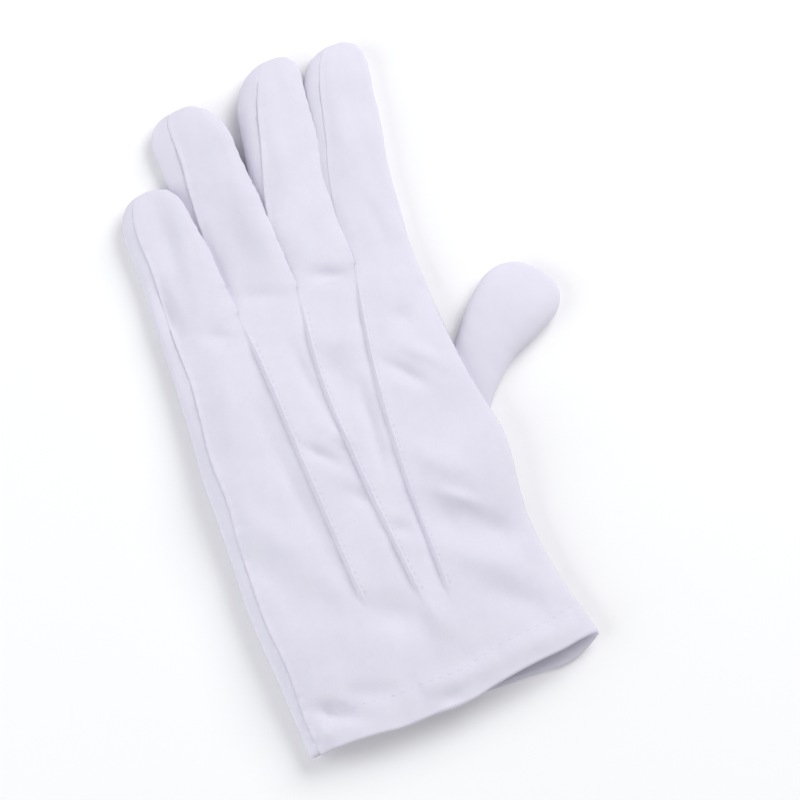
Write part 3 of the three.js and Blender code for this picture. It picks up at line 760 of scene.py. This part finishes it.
def startGroup(name, inputs):
    # a pattern's group with these inputs and every pattern's outputs, and short ways to add to it
    group = bpy.data.node_groups.new(name, "ShaderNodeTree")
    for label, value in inputs.items():
        kind = "NodeSocketColor" if isinstance(value, tuple) else "NodeSocketFloat"
        group.interface.new_socket(label, in_out="INPUT", socket_type=kind).default_value = value
    for label in ("Colour", "Roughness", "Height"):
        kind = "NodeSocketColor" if label == "Colour" else "NodeSocketFloat"
        group.interface.new_socket(label, in_out="OUTPUT", socket_type=kind)

    def node(kind, **settings):
        made = group.nodes.new(kind)
        for key, value in settings.items():
            setattr(made, key, value)
        return made

    def link(source, target):            # from a socket, or a number or colour for the target itself
        if isinstance(source, (int, float, tuple)):
            target.default_value = source
        else:
            group.links.new(source, target)

    def calc(operation, *values):
        made = node("ShaderNodeMath", operation=operation)
        for value, socket in zip(values, made.inputs):
            link(value, socket)
        return made.outputs[0]

    def mixed(amount, first, second, kind="MIX"):           # 0, 6 and 7 are a colour mix's own sockets
        made = node("ShaderNodeMix", data_type="RGBA", blend_type=kind)
        for value, socket in ((amount, 0), (first, 6), (second, 7)):
            link(value, made.inputs[socket])
        return made.outputs[2]

    def uvPlace(name):                   # the two coordinates of a piece's own UV map
        made = node("ShaderNodeSeparateXYZ")
        link(node("ShaderNodeUVMap", uv_map=name).outputs[0], made.inputs[0])
        return made.outputs

    return group, node, link, calc, mixed, uvPlace


def knitGroup():
    # colour: the cotton's, mixed towards its shade by two sizes of noise, with painted shade between the
    #   columns of loops, and greyer in the seams from dust and painted shade
    # height: columns of knitted loops along the cloth, each loop a pair of slanted legs, and fuzz
    #   legs = sin(2 pi (v / row + 0.9 |f - 0.5|)), column = 1 - (2 f - 1)^2 with f = fract(u / wale)
    # roughness: 0.82 + 0.12 * fine noise
    group, node, link, calc, mixed, uvPlace = startGroup("cotton knit", {
        "Colour": (0.8, 0.8, 0.8, 1), "Shade": (0.7, 0.7, 0.7, 1), "Mottling": 0.5, "Wale": 0.001,
        "Row": 0.001, "Knit depth": 0.5, "Fuzz": 0.3, "Seam dust and shade": 0.2})
    given = node("NodeGroupInput").outputs
    result = node("NodeGroupOutput").inputs
    place = node("ShaderNodeTexCoord").outputs["Object"]
    cloth = uvPlace("cloth")

    def noise(scale, detail, roughness=0.5):
        made = node("ShaderNodeTexNoise")
        values = {"Vector": place, "Scale": scale, "Detail": detail, "Roughness": roughness}
        for key, value in values.items():
            link(value, made.inputs[key])
        return made.outputs["Fac"]

    broad, fine, fuzz = noise(42, 3), noise(230, 4, 0.6), noise(2600, 3, 0.6)
    patches = node("ShaderNodeMapRange", interpolation_type="SMOOTHSTEP")
    link(calc("ADD", calc("MULTIPLY", broad, 0.6), calc("MULTIPLY", fine, 0.4)), patches.inputs["Value"])
    link(0.36, patches.inputs["From Min"])
    link(0.64, patches.inputs["From Max"])
    amount = calc("MULTIPLY", patches.outputs[0], given["Mottling"])
    mottled = mixed(amount, given["Colour"], given["Shade"])

    f = calc("FRACT", calc("DIVIDE", cloth[0], given["Wale"]))
    aside = calc("ABSOLUTE", calc("SUBTRACT", f, 0.5))
    turn = calc("ADD", calc("DIVIDE", cloth[1], given["Row"]), calc("MULTIPLY", aside, 0.9))
    legs = calc("SINE", calc("MULTIPLY", turn, 2 * math.pi))
    column = calc("SUBTRACT", 1.0, calc("MULTIPLY", calc("MULTIPLY", aside, aside), 4.0))
    loops = calc("MULTIPLY", calc("ADD", calc("MULTIPLY", legs, 0.35), column), given["Knit depth"])
    # painted shade: the cloth's colour darkens a little in the valleys between the columns of loops
    paintedValleyShade = calc("MULTIPLY", calc("SUBTRACT", 1.0, column), 0.03)
    withValleyShade = mixed(paintedValleyShade, mottled, (0.62, 0.60, 0.68, 1), "MULTIPLY")
    seam = node("ShaderNodeAttribute", attribute_name="seam").outputs["Fac"]
    # dust and painted shade: the colour is greyed towards (0.5, 0.48, 0.56) near the seams, where their
    # grooves lie
    seamDustAndShade = calc("MULTIPLY", calc("MULTIPLY", seam, given["Seam dust and shade"]), calc("ADD", fine, 0.5))
    link(mixed(seamDustAndShade, withValleyShade, (0.5, 0.48, 0.56, 1), "MULTIPLY"), result["Colour"])
    link(calc("ADD", 0.82, calc("MULTIPLY", fine, 0.12)), result["Roughness"])
    link(calc("ADD", loops, calc("MULTIPLY", fuzz, given["Fuzz"])), result["Height"])
    return group


def threadGroup():           # strands that wind round the thread: 0.5 + 0.5 sin(2 pi (v / lay + u)), with painted shade between them
    group, node, link, calc, mixed, uvPlace = startGroup("wound thread", {
        "Colour": (0.8, 0.8, 0.8, 1), "Shade": (0.6, 0.6, 0.6, 1), "Lay": 0.0005})
    given = node("NodeGroupInput").outputs
    result = node("NodeGroupOutput").inputs
    place = uvPlace("thread")
    turn = calc("ADD", calc("DIVIDE", place[1], given["Lay"]), place[0])
    strand = calc("ADD", calc("MULTIPLY", calc("SINE", calc("MULTIPLY", turn, 2 * math.pi)), 0.5), 0.5)
    # painted shade: the colour falls to Shade in the grooves between the strands, where the height is low
    link(mixed(strand, given["Shade"], given["Colour"]), result["Colour"])
    link(calc("SUBTRACT", 0.75, calc("MULTIPLY", strand, 0.12)), result["Roughness"])
    link(strand, result["Height"])
    return group


cottonLook = {               # the pattern's lengths and the bump's depth are in metres
    "pattern": {"Colour": (0.745, 0.727, 0.815), "Shade": (0.682, 0.664, 0.757), "Mottling": 0.35,
                "Wale": 0.0006, "Row": 0.0005, "Knit depth": 0.6, "Fuzz": 0.6, "Seam dust and shade": 0.03},
    "roughness": 0.88, "bumpStrength": 0.8, "bumpDepth": 0.00003,
    "finish": {"Sheen Weight": 0.15, "Sheen Roughness": 0.5, "Specular IOR Level": 0.25},
}
threadLook = {
    # Shade is the thread's painted shade, in the grooves between its strands
    "pattern": {"Colour": (0.80, 0.78, 0.87), "Shade": (0.75, 0.73, 0.82), "Lay": 0.0005},
    "roughness": 0.7, "bumpStrength": 1.0, "bumpDepth": 0.00002,
    "finish": {},
}

print("materials")
cotton = patternedMaterial("white cotton", knitGroup(), cottonLook)
thread = patternedMaterial("sewing thread", threadGroup(), threadLook)

print("cloth pieces")
backParts, palmParts = backSheets(), palmSheets()
clothObject("back_cloth", backParts, cotton, ["back_panel"], hemmed=True)
clothObject("palm_cloth", palmParts, cotton, ["palm_panel"], insideThumb, hemmed=True)
for index, node in enumerate(("gusset_little_ring", "gusset_ring_middle", "gusset_middle_index")):
    clothObject(node + "_cloth", gussetSheet(index), cotton, [node])
clothObject("thumb_cloth", thumbSheet(), cotton, ["thumb"])
stitchObject("tuck_stitches", tuckStitches(backParts), thread)
stitchObject("hem_stitches", hemStitches(backParts) + hemStitches(palmParts[::-1]), thread)

print("floor, light and camera")
floorLook = {"reach": 3.0, "below": 0.0001, "colour": (0.95, 0.95, 0.95), "roughness": 0.95}   # in metres
view = {
    "elevation": 80.0,       # degrees above the floor
    "turn": 23.6,            # the glove lies turned by this much in the picture
    "width": 290.0,          # what the picture's width shows at the glove, in millimetres
    "lens": 150.0,
    "target": (24.8, 106.0, 6.0),
}
lights = {                   # square soft boxes that face the glove, places and sizes in metres
    "key":   {"place": (0.92, 0.45, 0.88), "size": 0.9, "power": 13.4, "colour": (1.0, 1.0, 1.0)},
    "fill":  {"place": (-1.0, 0.1, 0.6), "size": 1.1, "power": 6.9, "colour": (0.97, 0.98, 1.0)},
    "front": {"place": (-0.2, -1.0, 0.42), "size": 0.8, "power": 1.3, "colour": (1.0, 1.0, 1.0)},
}
sky = {"colour": (0.95, 0.96, 1.0), "strength": 0.42}


def addFloor():              # one flat square, just below the glove
    mesh = bpy.data.meshes.new("floor")
    reach, level = floorLook["reach"], -floorLook["below"]
    corners = [(x * reach, y * reach, level) for x, y in ((-1, -1), (1, -1), (1, 1), (-1, 1))]
    mesh.from_pydata(corners, [], [(0, 1, 2, 3)])
    mesh.materials.append(plainMaterial("pale floor", floorLook["colour"], floorLook["roughness"]))
    return addObject("floor", mesh)


def addCamera():             # looks at its target from the view's angles, at the distance of its width
    data = bpy.data.cameras.new("camera")
    data.lens = view["lens"]
    camera = addObject("camera", data)
    elevation, turn = math.radians(view["elevation"]), math.radians(view["turn"])
    level = math.cos(elevation)
    away = np.array([-math.sin(turn) * level, -math.cos(turn) * level, math.sin(elevation)])
    distance = view["width"] * mm * view["lens"] / data.sensor_width
    camera.location = toFrame(view["target"]) + away * distance
    right = np.array([math.cos(turn), -math.sin(turn), 0])
    rotation = np.stack([right, np.cross(away, right), away], axis=1)
    camera.rotation_euler = Matrix(rotation.tolist()).to_euler()
    bpy.context.scene.camera = camera


def addLight(name, light):   # turned towards the origin
    data = bpy.data.lights.new(name, "AREA")
    data.shape = "SQUARE"
    data.size = light["size"]
    data.energy = light["power"]
    data.color = light["colour"]
    lamp = addObject(name, data)
    lamp.location = light["place"]
    lamp.rotation_euler = Vector(light["place"]).to_track_quat("Z", "Y").to_euler()


floorPiece = addFloor()
addCamera()
for name, light in lights.items():
    addLight(name, light)
world = bpy.data.worlds.new("studio")
world.use_nodes = True
background = world.node_tree.nodes["Background"]
background.inputs["Color"].default_value = (*sky["colour"], 1)
background.inputs["Strength"].default_value = sky["strength"]
bpy.context.scene.world = world
bpy.context.scene.view_settings.view_transform = "Standard"
